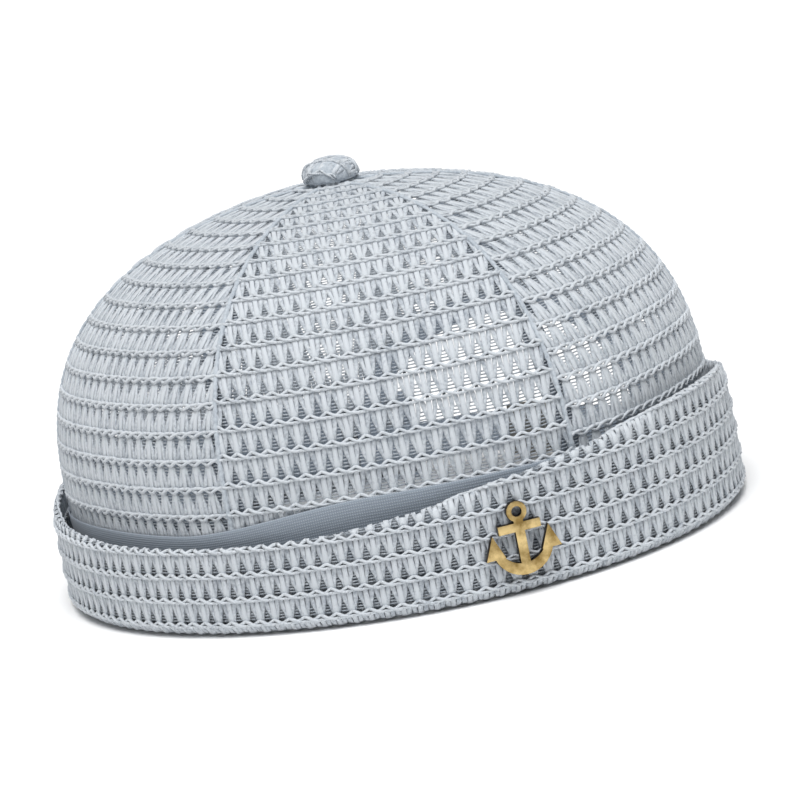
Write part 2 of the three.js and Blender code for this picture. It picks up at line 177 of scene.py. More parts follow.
# The cap stands about an upright line through the button
button_low, button_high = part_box("top_button")
AXIS = np.array([0, (button_low.y + button_high.y) / 2 / MM, 0])


# Ways and lengths
def unit(ways):
    return ways / np.linalg.norm(ways, axis=-1, keepdims=True)


def step_lengths(points):
    return np.linalg.norm(np.diff(points, axis=0), axis=-1)


def running(steps):
    """How far a line has run at each of its points, from the steps between them"""
    return np.concatenate([[0], np.cumsum(steps)])


# Making meshes
def recalculated(mesh):
    shell = bmesh.new()
    shell.from_mesh(mesh)
    bmesh.ops.recalc_face_normals(shell, faces=shell.faces)
    shell.to_mesh(mesh)
    shell.free()
    return mesh


def make_piece(name, points, faces):
    mesh = bpy.data.meshes.new(name)
    mesh.from_pydata(((np.asarray(points) + AXIS) * MM).tolist(), [], faces)
    mesh.shade_smooth()
    piece = bpy.data.objects.new(name, mesh)
    bpy.context.scene.collection.objects.link(piece)
    return piece


def dress(piece, material, slot, *nodes):
    """Gives a piece its material and its place on the body, and hides the solids that it stands for"""
    piece.data.materials.clear()
    piece.data.materials.append(material)
    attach(piece, "root")
    if nodes:
        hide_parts(*nodes)
    return piece


def grid_faces(rows, columns, ring=False):
    faces = []
    for row in range(rows - 1):
        for column in range(columns if ring else columns - 1):
            here = row * columns + column
            beside = row * columns + (column + 1) % columns
            faces.append((here, beside, beside + columns, here + columns))
    return faces


def closed_faces(rows, around):
    """The same for a row of rings, with a cap on each end"""
    faces = grid_faces(rows, around, ring=True)
    faces.append(tuple(range(around))[::-1])
    faces.append(tuple(range((rows - 1) * around, rows * around)))
    return faces


def loft(name, sections):
    """A closed skin over a row of section outlines, with its length and girth as its UV map"""
    sections = np.asarray(sections, float)
    piece = make_piece(name, sections.reshape(-1, 3), closed_faces(*sections.shape[:2]))
    along = running(step_lengths(sections.mean(1)))
    girth = running(np.linalg.norm(np.roll(sections[0], -1, axis=0) - sections[0], axis=1))
    places = []
    for low, high in zip(along, along[1:]):
        for near, far in zip(girth, girth[1:]):
            places += [(low, near), (low, far), (high, far), (high, near)]
    places += [(0, value) for value in girth[:-1][::-1]]
    places += [(along[-1], value) for value in girth[:-1]]
    piece.data.uv_layers.new(name="strip").data.foreach_set("uv", np.array(places, float).ravel())
    recalculated(piece.data)
    return piece


# Form of the crown
def make_meridian():
    turn = np.linspace(0, 1, 401) ** 2 * math.pi / 2
    radius = np.cos(turn)
    radius[-1] = 0
    height = CROWN_HEIGHT * np.sin(turn) ** (2 / SHOULDER_POWER)
    radius *= 1 + CROWN_BULGE * np.sin(math.pi * (height / CROWN_HEIGHT) ** BULGE_POWER)
    stride = np.hypot(np.diff(radius) * CROWN_RADIUS, np.diff(height))
    return running(stride), radius, height


LENGTHS, RADII, HEIGHTS = make_meridian()
MERIDIAN_LENGTH = LENGTHS[-1]


def length_at_height(height):
    return np.interp(height, HEIGHTS, LENGTHS)


def length_at_radius(radius):
    """Where the crown closes in to this radius, above its widest level"""
    widest = int(np.argmax(RADII))
    return np.interp(-radius / CROWN_RADIUS, -RADII[widest:], LENGTHS[widest:])


def radius_at_length(length):
    return CROWN_RADIUS * np.interp(length, LENGTHS, RADII)


PANEL_BOTTOM = length_at_height(BASE_HEIGHT)
PANEL_TOP = length_at_radius(BUTTON_HOLE_RADIUS)


def crown_face(angle, length):
    radius = np.interp(length, LENGTHS, RADII) * (1 + SEAM_RIDGE * np.cos(PANEL_COUNT * angle))
    x = CROWN_HALF_WIDTH * radius * np.sin(angle)
    y = -CROWN_HALF_DEPTH * radius * np.cos(angle)
    return np.stack([x, y, np.interp(length, LENGTHS, HEIGHTS) + 0 * angle], -1)


def crown_out(angle, length):
    along = crown_face(angle + 0.02, length) - crown_face(angle - 0.02, length)
    low = np.maximum(length - 0.5, 0)
    high = np.minimum(length + 0.5, MERIDIAN_LENGTH - 0.5)
    return unit(np.cross(along, crown_face(angle, high) - crown_face(angle, low)))


def crown_point(angle, length, lift):
    """Points that stand off the crown's outer face, or lie inside it where the lift is negative"""
    angle, length, lift = np.broadcast_arrays(angle, length, lift)
    return crown_face(angle, length) + crown_out(angle, length) * lift[..., None]


def plan_point(angle, grow, height):
    """A point over the plan line of the crown's foot, grown by a distance"""
    x = (CROWN_HALF_WIDTH + grow) * np.sin(angle)
    y = -(CROWN_HALF_DEPTH + grow) * np.cos(angle)
    return np.stack(np.broadcast_arrays(x, y, height), -1)


def plan_out(angle, grow):
    """The level way out of that line"""
    x = (CROWN_HALF_DEPTH + grow) * np.sin(angle)
    y = -(CROWN_HALF_WIDTH + grow) * np.cos(angle)
    return unit(np.stack([x, y, 0 * angle], -1))


# One mesh of the net, lying flat: x runs along the row, y up the net and z out of the cloth
def tube(path, half_widths, half_heights, sides, flare=0):
    """A strand along a path, flat on top, its underside wider by the flare"""
    path = np.asarray(path, float)
    way = np.gradient(path, axis=0)
    side = unit(np.stack([-way[:, 1], way[:, 0], 0 * way[:, 0]], -1))
    turn = (np.arange(sides) + 0.5) * 2 * math.pi / sides + math.pi / 2
    wide = np.cos(turn) / np.abs(np.cos(turn)).max() * np.where(np.sin(turn) < 0, 1 + flare, 1)
    high = np.sin(turn) / np.abs(np.sin(turn)).max()
    half_widths = np.broadcast_to(half_widths, len(path))[:, None, None]
    half_heights = np.broadcast_to(half_heights, len(path))[:, None, None]
    across = side[:, None] * wide[None, :, None] * half_widths
    rise = np.array([0, 0, 1]) * high[None, :, None] * half_heights
    return (path[:, None] + across + rise).reshape(-1, 3), closed_faces(len(path), sides)


def strap_tube():
    """Upright strap. It dips behind the cord at both ends, which leaves a dimple there"""
    # Each place is a share of the mesh's height, half the strap's width there, and its lift
    shape = [(0, 0.4, -0.9), (0.08, 0.75, -0.1), (0.18, 0.85, 0), (0.42, 0.74, 0)]
    shape += [(0.84, 0.7, 0), (0.92, 0.6, -0.1), (1, 0.4, -0.9)]
    path = [(0, share * MESH_HEIGHT, lift) for share, _, lift in shape]
    half_widths = np.array([half for _, half, _ in shape])
    return tube(path, half_widths, STRAP_HALF_HEIGHT, STRAND_SIDES, STRAP_FLARE)


def loop_tube():
    """Loop between two straps: its legs stand apart at the foot and run together above"""
    # Each place is a distance from the loop's middle, a share of the mesh's height, and half the leg's width
    shape = [(1.75, 0, 0.36), (1.3, 0.33, 0.48), (0.9, 0.55, 0.64)]
    shape += [(0.78, 0.74, 0.74), (0.64, 0.87, 0.64), (0, 0.95, 0.35)]
    shape += [(-across, share, half) for across, share, half in shape[-2::-1]]
    path = [(MESH_WIDTH / 2 - across, share * MESH_HEIGHT, LOOP_DEPTH) for across, share, _ in shape]
    return tube(path, np.array([half for _, _, half in shape]), LOOP_HALF_HEIGHT, STRAND_SIDES)


def rung_tubes():
    """Thin threads across the loop's hole, shorter as its legs draw together"""
    tubes = []
    for share, half_length in [(0.13, 1.5), (0.25, 1.25), (0.37, 1), (0.49, 0.7)]:
        ends = [(MESH_WIDTH / 2 - side * half_length, share * MESH_HEIGHT, RUNG_DEPTH) for side in (1, -1)]
        tubes.append(tube(ends, RUNG_HALF_WIDTH, RUNG_HALF_HEIGHT, RUNG_SIDES))
    return tubes


def cord_tubes():
    """Two strands that part round each dimple and cross between the straps"""
    tubes = []
    for side in (1, -1):
        share = np.linspace(-0.01, 1.01, CORD_POINTS)
        wave = np.cos(math.pi * share)
        rise = side * CORD_SWING * wave * np.abs(wave) ** 0.6
        sag = -CORD_SAG * np.sin(math.pi * share)
        lift = side * CORD_CROSSING * np.sin(math.pi * share) + CORD_LIFT
        path = np.stack([share * MESH_WIDTH, rise + sag, lift], -1)
        tubes.append(tube(path, CORD_HALF_WIDTH, CORD_HALF_HEIGHT, STRAND_SIDES))
    return tubes


def make_net_mesh():
    points = []
    faces = []
    painted_tones = []
    strands = {"strap": [strap_tube()], "loop": [loop_tube()], "rung": rung_tubes(), "cord": cord_tubes()}
    for label, tubes in strands.items():
        for part_points, part_faces in tubes:
            start = len(points)
            points += part_points.tolist()
            faces += [tuple(start + corner for corner in face) for face in part_faces]
            # Points that dip deeper than PIT_DEPTH get painted shade: the dimples where the straps run
            # behind the cord
            dips = part_points[:, 2] < PIT_DEPTH
            painted_tones += np.where(dips, PIT_PAINTED_SHADE, STRAND_PAINTED_LIGHT[label]).tolist()
    mesh = bpy.data.meshes.new("net_mesh")
    mesh.from_pydata((np.array(points) * MM).tolist(), [], faces)
    mesh.shade_smooth()
    mesh.attributes.new("painted_light_tone", "FLOAT", "POINT").data.foreach_set("value", painted_tones)
    made = bpy.data.objects.new("net_mesh", recalculated(mesh))
    bpy.context.scene.collection.objects.link(made)
    return made


# Node trees
def add_node(tree, kind, inputs=(), **settings):
    made = tree.nodes.new(kind)
    for name, value in settings.items():
        setattr(made, name, value)
    for socket, value in dict(inputs).items():
        if isinstance(value, bpy.types.NodeSocket):
            tree.links.new(value, made.inputs[socket])
        else:
            made.inputs[socket].default_value = value
    return made


def make_tree(name, sockets):
    """A tree with named inputs, and the group's input and output nodes"""
    tree = bpy.data.node_groups.new(name, "GeometryNodeTree")
    for label, kind in sockets.items():
        tree.interface.new_socket(label, in_out="INPUT", socket_type=f"NodeSocket{kind}")
    tree.interface.new_socket("Mesh", in_out="OUTPUT", socket_type="NodeSocketGeometry")
    return tree, tree.nodes.new("NodeGroupInput").outputs, tree.nodes.new("NodeGroupOutput")


def run_tree(name, tree, values):
    """A new piece that holds the plain mesh which the tree makes from these inputs"""
    piece = bpy.data.objects.new(name, bpy.data.meshes.new(name))
    bpy.context.scene.collection.objects.link(piece)
    modifier = piece.modifiers.new("tree", "NODES")
    modifier.node_group = tree
    for item in tree.interface.items_tree:
        if item.in_out == "INPUT":
            modifier[item.identifier] = values[item.name]
    bpy.context.view_layer.update()
    made = bpy.data.meshes.new_from_object(piece.evaluated_get(bpy.context.evaluated_depsgraph_get()))
    made.name = name
    piece.modifiers.clear()
    piece.data = made
    return piece


def make_net_tree():
    """Lays rows of meshes out flat, then wraps them on a surface by that surface's flat pattern"""
    tree, given, result = make_tree("Net on a surface", {
        "Surface": "Object", "Net Mesh": "Object", "Columns": "Int", "Rows": "Int", "Column Pitch": "Float",
        "Row Pitch": "Float", "Corner": "Vector", "Mesh Scale": "Vector", "Flat Span": "Float",
        "Wobble": "Float", "Wobble Seed": "Float", "Material": "Material",
    })
    last_column = add_node(tree, "ShaderNodeMath", {0: given["Columns"], 1: 1}, operation="SUBTRACT")
    last_row = add_node(tree, "ShaderNodeMath", {0: given["Rows"], 1: 1}, operation="SUBTRACT")
    width = add_node(tree, "ShaderNodeMath", {
        0: last_column.outputs[0], 1: given["Column Pitch"],
    }, operation="MULTIPLY")
    height = add_node(tree, "ShaderNodeMath", {
        0: last_row.outputs[0], 1: given["Row Pitch"],
    }, operation="MULTIPLY")
    size = add_node(tree, "ShaderNodeCombineXYZ", {0: width.outputs[0], 1: height.outputs[0]})
    grid = add_node(tree, "GeometryNodeMeshGrid", {
        0: width.outputs[0], 1: height.outputs[0], 2: given["Columns"], 3: given["Rows"],
    })
    shift = add_node(tree, "ShaderNodeVectorMath", {
        0: size.outputs[0], 1: (0.5, 0.5, 0.5), 2: given["Corner"],
    }, operation="MULTIPLY_ADD")
    places = add_node(tree, "GeometryNodeSetPosition", {0: grid.outputs[0], "Offset": shift.outputs[0]})
    mesh_info = add_node(tree, "GeometryNodeObjectInfo", {0: given["Net Mesh"]})
    copies = add_node(tree, "GeometryNodeInstanceOnPoints", {
        0: places.outputs[0], "Instance": mesh_info.outputs["Geometry"], "Scale": given["Mesh Scale"],
    })
    flat_net = add_node(tree, "GeometryNodeRealizeInstances", {0: copies.outputs[0]})
    position = add_node(tree, "GeometryNodeInputPosition")
    noise = add_node(tree, "ShaderNodeTexNoise", {
        "Vector": position.outputs[0], "W": given["Wobble Seed"], "Detail": 1,
        "Scale": 1 / (WOBBLE_SPACING * MM),
    }, noise_dimensions="4D")
    centred = add_node(tree, "ShaderNodeVectorMath", {
        0: noise.outputs["Color"], 1: (0.5, 0.5, 0.5),
    }, operation="SUBTRACT")
    wobble = add_node(tree, "ShaderNodeVectorMath", {
        0: centred.outputs[0], "Scale": given["Wobble"],
    }, operation="SCALE")
    loose_net = add_node(tree, "GeometryNodeSetPosition", {
        0: flat_net.outputs[0], "Offset": wobble.outputs[0],
    })
    split = add_node(tree, "ShaderNodeSeparateXYZ", {0: position.outputs[0]})
    scale = add_node(tree, "ShaderNodeMath", {0: 1, 1: given["Flat Span"]}, operation="DIVIDE")
    pattern = add_node(tree, "ShaderNodeVectorMath", {
        0: position.outputs[0], 1: scale.outputs[0], 2: (0.5, 0.5, 0),
    }, operation="MULTIPLY_ADD")
    surface_info = add_node(tree, "GeometryNodeObjectInfo", {0: given["Surface"]})
    flat = add_node(tree, "GeometryNodeInputNamedAttribute", {0: "flat"}, data_type="FLOAT_VECTOR")
    outward = add_node(tree, "GeometryNodeInputNamedAttribute", {0: "outward"}, data_type="FLOAT_VECTOR")
    wrapped = {}
    for label, value in [("place", position.outputs[0]), ("out", outward.outputs[0])]:
        wrapped[label] = add_node(tree, "GeometryNodeSampleUVSurface", {
            0: surface_info.outputs["Geometry"], 1: value, 2: flat.outputs[0], 3: pattern.outputs[0],
        }, data_type="FLOAT_VECTOR")
    height_off = add_node(tree, "ShaderNodeVectorMath", {
        0: wrapped["out"].outputs[0], 1: split.outputs[2], 2: wrapped["place"].outputs[0],
    }, operation="MULTIPLY_ADD")
    outside = add_node(tree, "FunctionNodeBooleanMath", {0: wrapped["place"].outputs[1]}, operation="NOT")
    marked = add_node(tree, "GeometryNodeStoreNamedAttribute", {
        0: loose_net.outputs[0], "Name": "outside", "Value": outside.outputs[0],
    }, data_type="BOOLEAN", domain="POINT")
    laid = add_node(tree, "GeometryNodeSetPosition", {
        0: marked.outputs[0], "Position": height_off.outputs[0],
    })
    is_outside = add_node(tree, "GeometryNodeInputNamedAttribute", {0: "outside"}, data_type="BOOLEAN")
    kept = add_node(tree, "GeometryNodeDeleteGeometry", {
        0: laid.outputs[0], 1: is_outside.outputs[0],
    }, domain="POINT")
    smooth = add_node(tree, "GeometryNodeSetShadeSmooth", {0: kept.outputs[0]})
    finished = add_node(tree, "GeometryNodeSetMaterial", {
        0: smooth.outputs[0], "Material": given["Material"],
    })
    tree.links.new(finished.outputs[0], result.inputs[0])
    return tree


def make_surface(name, points, outward, flat, span, open_faces=None):
    """A grid to lay a net on, with each point's way out and its place in the flat pattern"""
    rows, columns = points.shape[:2]
    faces = grid_faces(rows, columns)
    if open_faces is not None:
        faces = [face for face in faces if not all(open_faces.reshape(-1)[list(face)])]
    piece = make_piece(name, points.reshape(-1, 3), faces)
    mesh = piece.data
    mesh.attributes.new("outward", "FLOAT_VECTOR", "POINT").data.foreach_set("vector", outward.reshape(-1))
    corners = np.zeros(len(mesh.loops), int)
    mesh.loops.foreach_get("vertex_index", corners)
    places = (flat.reshape(-1, 2) / span + [0.5, 0.5])[corners]
    mesh.uv_layers.new(name="flat").data.foreach_set("uv", places.ravel())
    return piece


def drop_crumbs(shell):
    """Removes the loose ends that trimming leaves"""
    seen = set()
    crumbs = []
    for start in shell.verts:
        if start in seen:
            continue
        island = [start]
        seen.add(start)
        for vertex in island:
            for edge in vertex.link_edges:
                other = edge.other_vert(vertex)
                if other not in seen:
                    seen.add(other)
                    island.append(other)
        places = np.array([vertex.co for vertex in island])
        if np.ptp(places, axis=0).max() < CRUMB_SIZE * MM:
            crumbs += island
    bmesh.ops.delete(shell, geom=crumbs, context="VERTS")


def close_loop(shell, rim):
    """Fills a loop with a face, or takes away the lone face that it runs round"""
    if len(rim) < 3:
        return
    lone = shell.faces.get(rim)
    if lone:
        shell.faces.remove(lone)
    else:
        shell.faces.new(rim)


def close_ends(shell):
    """Puts a face on every open loop of edges, in the edges' order, so that each run gives the same faces"""
    open_edges = [edge for edge in shell.edges if edge.is_boundary]
    left = set(open_edges)
    for first in open_edges:
        if first not in left:
            continue
        vertex = first.verts[0]
        rim = [vertex]
        edge = next((other for other in vertex.link_edges if other in left), None)
        while edge:
            left.discard(edge)
            vertex = edge.other_vert(vertex)
            if vertex in rim:
                start = rim.index(vertex)
                close_loop(shell, rim[start:])
                rim = rim[:start]
            rim.append(vertex)
            edge = next((other for other in vertex.link_edges if other in left), None)


def drop_wires(shell):
    wires = [edge for edge in shell.edges if edge.is_wire]
    bmesh.ops.delete(shell, geom=wires, context="EDGES")


def trim(piece, planes=()):
    """Cuts a piece off clean at each plane and closes every cut end, in two rounds where loops touch"""
    shell = bmesh.new()
    shell.from_mesh(piece.data)
    for point, normal in planes:
        everything = shell.verts[:] + shell.edges[:] + shell.faces[:]
        place = (point + AXIS) * MM
        bmesh.ops.bisect_plane(
            shell, geom=everything, dist=CUT_SLACK * MM, plane_co=place, plane_no=normal, clear_outer=True,
        )
    bmesh.ops.remove_doubles(shell, verts=shell.verts, dist=WELD_REACH * MM)
    drop_wires(shell)
    drop_crumbs(shell)
    for _ in range(2):
        close_ends(shell)
        drop_wires(shell)
    bmesh.ops.recalc_face_normals(shell, faces=shell.faces)
    shell.to_mesh(piece.data)
    shell.free()


def lay_net(name, surface, span, low, high, row_pitch, phase, turned=False):
    """Net over the part of a surface's flat pattern from its low corner to its high corner"""
    first_column = math.floor(low[0] / MESH_WIDTH - phase[0])
    last_column = math.ceil(high[0] / MESH_WIDTH - phase[0])
    first_row = math.floor(low[1] / row_pitch - phase[1])
    last_row = math.ceil(high[1] / row_pitch - phase[1])
    first_cord = first_row + phase[1] + (1 if turned else 0)
    corner = ((first_column + phase[0]) * MESH_WIDTH * MM, first_cord * row_pitch * MM, 0)
    scale = row_pitch / MESH_HEIGHT
    return run_tree(name, NET_TREE, {
        "Surface": surface, "Net Mesh": NET_MESH, "Columns": last_column - first_column,
        "Rows": last_row - first_row, "Column Pitch": MESH_WIDTH * MM, "Row Pitch": row_pitch * MM,
        "Corner": corner, "Mesh Scale": (1, -scale if turned else scale, 1), "Flat Span": span * MM,
        "Wobble": NET_WOBBLE * MM, "Wobble Seed": float(rng.uniform(0, 100)), "Material": NET_YARN,
    })


# Materials
def linear(colour, alpha=1):
    """An sRGB hex value as the linear colour that a shader takes"""
    parts = [int(colour[place:place + 2], 16) / 255 for place in (1, 3, 5)]
    return [part / 12.92 if part <= 0.04045 else ((part + 0.055) / 1.055) ** 2.4 for part in parts] + [alpha]


def make_material(name, **sockets):
    material = bpy.data.materials.new(name)
    material.use_nodes = True
    tree = material.node_tree
    for label, value in sockets.items():
        tree.nodes["Principled BSDF"].inputs[label.replace("_", " ")].default_value = value
    return material, tree


def noise(tree, place, spacing, detail, roughness=0.5):
    """Noise whose patches lie this many millimetres apart"""
    return add_node(tree, "ShaderNodeTexNoise", {
        "Vector": place, "Scale": 1 / (spacing * MM), "Detail": detail, "Roughness": roughness,
    }).outputs["Fac"]


def colour_and_relief(tree, shade, height, strength, depth):
    """Connects the colour and a bump, whose depth is in millimetres"""
    inputs = tree.nodes["Principled BSDF"].inputs
    bump = add_node(tree, "ShaderNodeBump", {"Height": height, "Strength": strength, "Distance": depth * MM})
    tree.links.new(shade, inputs["Base Color"])
    tree.links.new(bump.outputs[0], inputs["Normal"])


def colour_ramp(tree, value, stops):
    """A ramp through these colours, each a place from 0 to 1 with its hex value"""
    ramp = add_node(tree, "ShaderNodeValToRGB", {0: value})
    elements = ramp.color_ramp.elements
    for element, (place, colour) in zip(elements, (stops[0], stops[-1])):
        element.position = place
        element.color = linear(colour)
    for place, colour in stops[1:-1]:
        elements.new(place).color = linear(colour)
    return ramp.outputs[0]


def cotton_yarn(name, light, dark, painted_pit_shade):
    # Matt spun yarn: no shine, a soft fuzz that catches light at its rim, and hairs 0.35 mm apart. Its
    # colour drifts over 9 mm and mottles over 0.9 mm at random, and the net's strands add painted light and
    # shade
    material, tree = make_material(name, Roughness=0.9, Sheen_Weight=0.25, Sheen_Roughness=0.6)
    place = add_node(tree, "ShaderNodeTexCoord").outputs["Object"]
    drift = noise(tree, place, 9, 3)
    mottle = noise(tree, place, 0.9, 2)
    # The painted light and shade that the net's strands carry with them
    strand = add_node(tree, "ShaderNodeAttribute", attribute_name="painted_light_tone").outputs["Fac"]
    mix = 0.3
    for part, weight in [(drift, 0.5), (mottle, 0.7), (strand, 0.35)]:
        added = add_node(tree, "ShaderNodeMath", {0: part, 1: weight, 2: mix}, operation="MULTIPLY_ADD")
        mix = added.outputs[0]
    # The darkest stop is painted shade, for the dimples
    shade = colour_ramp(tree, mix, [(0.4, painted_pit_shade), (0.7, dark), (1, light)])
    colour_and_relief(tree, shade, noise(tree, place, 0.35, 4, 0.7), 0.7, 0.3)
    return material


def woven_cloth(name, light, dark, thread):
    # Plain weave: threads cross at right angles and dip under one another, which gives a fine check of light
    material, tree = make_material(name, Roughness=0.9, Sheen_Weight=0.15)
    place = add_node(tree, "ShaderNodeUVMap", uv_map="strip").outputs[0]
    waves = []
    for direction in ("X", "Y"):
        wave = add_node(tree, "ShaderNodeTexWave", {
            "Vector": place, "Scale": 2 * math.pi / 20 / thread, "Distortion": 0.4, "Detail": 1,
        }, wave_type="BANDS", bands_direction=direction)
        waves.append(wave.outputs["Fac"])
    weave = add_node(tree, "ShaderNodeMath", {0: waves[0], 1: waves[1]}, operation="MULTIPLY")
    shade = colour_ramp(tree, weave.outputs[0], [(0, dark), (1, light)])
    colour_and_relief(tree, shade, weave.outputs[0], 0.6, 0.2)
    return material


def antiqued_brass(name):
    # Cast brass, darkened and rubbed back: pale gold on the face, and brown where it turns away at the edges
    material, tree = make_material(name, Metallic=1.0, Roughness=0.38)
    place = add_node(tree, "ShaderNodeTexCoord").outputs["Object"]
    rubbed_face = colour_ramp(tree, noise(tree, place, 5, 5, 0.6), [(0.35, "#8f7645"), (0.62, "#dcc38c")])
    normal = add_node(tree, "ShaderNodeNewGeometry").outputs["Normal"]
    out = tuple(plan_out(np.array(EMBLEM_ANGLE), CUFF_STAND))
    facing = add_node(tree, "ShaderNodeVectorMath", {0: normal, 1: out}, operation="DOT_PRODUCT")
    rubbed = add_node(tree, "ShaderNodeMapRange", {
        "Value": facing.outputs["Value"], "From Min": 0.8, "From Max": 0.985,
    })
    patina = add_node(tree, "ShaderNodeMix", {
        0: rubbed.outputs[0], 6: linear("#2e2214"), 7: rubbed_face,
    }, data_type="RGBA")
    colour_and_relief(tree, patina.outputs[2], noise(tree, place, 0.3, 3), 0.25, 0.1)
    return material


def satin_steel(name):
    # Plated steel, satin: an even grey with a fine brushed grain, its strokes 4 mm long and 0.25 mm wide
    material, tree = make_material(name, Metallic=1.0, Roughness=0.42)
    place = add_node(tree, "ShaderNodeTexCoord").outputs["Object"]
    strokes = add_node(tree, "ShaderNodeMapping", {"Vector": place, "Scale": (1 / 16, 1 / 16, 1)})
    grain = noise(tree, strokes.outputs[0], 0.25, 3)
    shade = colour_ramp(tree, grain, [(0, "#6f6c66"), (1, "#a8a59e")])
    colour_and_relief(tree, shade, grain, 0.2, 0.05)
    return material


def painted_board(name):
    # Matt white board under the cap: even, without a glint
    return make_material(name, Base_Color=linear("#fbfbfb"), Roughness=0.9)[0]


# The third colour of each yarn is painted shade, which the net's dimples reach
NET_YARN = cotton_yarn("spun_cotton_yarn", "#ccd2d8", "#98a1ab", "#59626c")
SEAM_YARN = cotton_yarn("spun_cotton_seam", "#bfc7cf", "#a0aab4", "#505963")
BAND_CLOTH = woven_cloth("plain_woven_cotton", "#a3acb6", "#87919d", 0.7)
TAPE_CLOTH = woven_cloth("twill_tape_cotton", "#b4bdc8", "#909ba9", 0.6)
STRAP_CLOTH = woven_cloth("cotton_webbing", "#c3cad3", "#98a3b0", 0.9)
BRASS = antiqued_brass("antiqued_cast_brass")
STEEL = satin_steel("satin_plated_steel")
BOARD = painted_board("matt_white_board")


# Crown panels: each net is laid past its seams, its top and the arch, and then cut
NET_MESH = make_net_mesh()
NET_TREE = make_net_tree()
PANEL_ROWS = 90
PANEL_COLUMNS = 49
PANEL_SPAN = 2.2 * MERIDIAN_LENGTH
PANEL_PHASES = [(0.5, 0.0), (0.0, 0.5), (0.5, 0.2), (0.0, 0.7), (0.5, 0.35), (0.0, 0.85)]
PANEL_TUCK = 2
SEAM_MARGIN = 4
SEAM_MARGIN_MOST = 0.6
SEAM_SPLIT = 0.05
ARCH_MARGIN = 3


def in_arch(points):
    across = points[..., 0] / (ARCH_HALF_WIDTH + ARCH_MARGIN)
    up = np.maximum(0, points[..., 2] - STRAP_TOP) / (ARCH_RISE + ARCH_MARGIN)
    return (points[..., 1] > 0) & (np.hypot(across, up) < 1)


def make_panel(number):
    middle = (number + 0.5) * PANEL_ANGLE
    lengths = np.linspace(PANEL_BOTTOM, PANEL_TOP + PANEL_TUCK, PANEL_ROWS)[:, None]
    half = PANEL_ANGLE / 2 + np.minimum(SEAM_MARGIN / radius_at_length(lengths), SEAM_MARGIN_MOST)
    angles = middle + half * np.linspace(-1, 1, PANEL_COLUMNS)[None, :]
    lengths = np.broadcast_to(lengths, angles.shape)
    points = crown_point(angles, lengths, -NET_SINK)
    steps = np.linalg.norm(np.diff(points, axis=1), axis=-1)
    across = np.concatenate([0 * steps[:, :1], np.cumsum(steps, axis=1)], axis=1)
    across -= across[:, across.shape[1] // 2, None]
    flat = np.stack([across, lengths - PANEL_BOTTOM], -1)
    name = PANEL_NAMES[number]
    ways = crown_out(angles, lengths)
    surface = make_surface(f"form_{name}", points, ways, flat, PANEL_SPAN, in_arch(points))
    low = (across.min(), 0)
    high = (across.max(), PANEL_TOP - PANEL_BOTTOM)
    phase = PANEL_PHASES[number]
    turned = number % 2 == 1
    net = lay_net(f"net_{name}", surface, PANEL_SPAN, low, high, CROWN_ROW_HEIGHT, phase, turned)
    bpy.data.objects.remove(surface)
    planes = []
    for side in (-1, 1):
        seam = middle + side * PANEL_ANGLE / 2
        normal = np.cross([0, 0, 1], unit(plan_point(seam, 0, 0))) * side
        planes.append((-normal * SEAM_SPLIT, normal))
    trim(net, planes)
    dress(net, NET_YARN, "net", f"crown_panel_{name}")


def make_seam(number):
    """The two panels' edges, sewn together in a narrow ridge"""
    angle = number * PANEL_ANGLE
    over_arch = number * 2 == PANEL_COUNT
    start = length_at_height(STRAP_TOP + ARCH_RISE + BINDING_WIDTH / 4) if over_arch else PANEL_BOTTOM
    lengths = np.arange(start, PANEL_TOP + PANEL_TUCK, SEAM_STEP)
    turn = np.arange(SEAM_SIDES) * 2 * math.pi / SEAM_SIDES
    across = SEAM_HALF_WIDTH * np.cos(turn)
    out = SEAM_HALF_HEIGHT * np.sin(turn)
    stitches = 1 + STITCH_SWELL * np.sin(lengths * 2 * math.pi / STITCH_SPACING)
    sections = []
    for length, swell in zip(lengths, stitches):
        angles = angle + across * swell / radius_at_length(length)
        sections.append(crown_point(angles, length, out * swell - NET_SINK + SEAM_STAND))
    dress(loft(f"seam_{number + 1}", sections), SEAM_YARN, "net")


def make_tape(number):
    angle = number * PANEL_ANGLE
    over_arch = number * 2 == PANEL_COUNT
    arch_top = STRAP_TOP + ARCH_RISE + BINDING_WIDTH + TAPE_THICKNESS
    foot = arch_top if over_arch else BASE_HEIGHT + SWEATBAND_HEIGHT
    lengths = np.linspace(length_at_height(foot + 2 * GAP), length_at_radius(TAPE_TOP_RADIUS), 40)
    half = TAPE_WIDTH / 2
    flat = half - TAPE_EDGE_WIDTH
    across = np.array([-half, -flat, 0, flat, half, half, flat, 0, -flat, -half])
    step = np.array([TAPE_EDGE_STEP, 0, 0, 0, TAPE_EDGE_STEP])
    depth = np.concatenate([step, TAPE_THICKNESS - step])
    sections = []
    for length in lengths:
        angles = angle + across / radius_at_length(length)
        sections.append(crown_point(angles, length, -INSIDE_DEPTH - depth))
    tape = loft(f"tape_{number + 1}", sections)
    dress(tape, TAPE_CLOTH, "plain_cloth", f"seam_tape_{number + 1}")


def make_sweatband():
    leg = ARCH_HALF_WIDTH + BINDING_WIDTH + 2 * GAP
    foot_half_width = CROWN_HALF_WIDTH * np.interp(PANEL_BOTTOM, LENGTHS, RADII)
    end = math.pi - math.asin(leg / (foot_half_width - INSIDE_DEPTH - SWEATBAND_THICKNESS))
    top = BASE_HEIGHT + SWEATBAND_HEIGHT
    heights = [BASE_HEIGHT, BASE_HEIGHT + 8, BASE_HEIGHT + 16, BASE_HEIGHT + 24, top - 0.8, top - 0.2, top]
    rounding = np.array([0.1, 0, 0, 0, 0, 0.1, 0.45])
    lengths = length_at_height(np.array(heights + heights[::-1]))
    depth = np.concatenate([rounding, SWEATBAND_THICKNESS - rounding[::-1]])
    angles = np.linspace(-end, end, BAND_SECTIONS)
    sections = [crown_point(angle, lengths, -INSIDE_DEPTH - depth) for angle in angles]
    band = dress(loft("sweatband_cloth", sections), BAND_CLOTH, "plain_cloth", "sweatband")


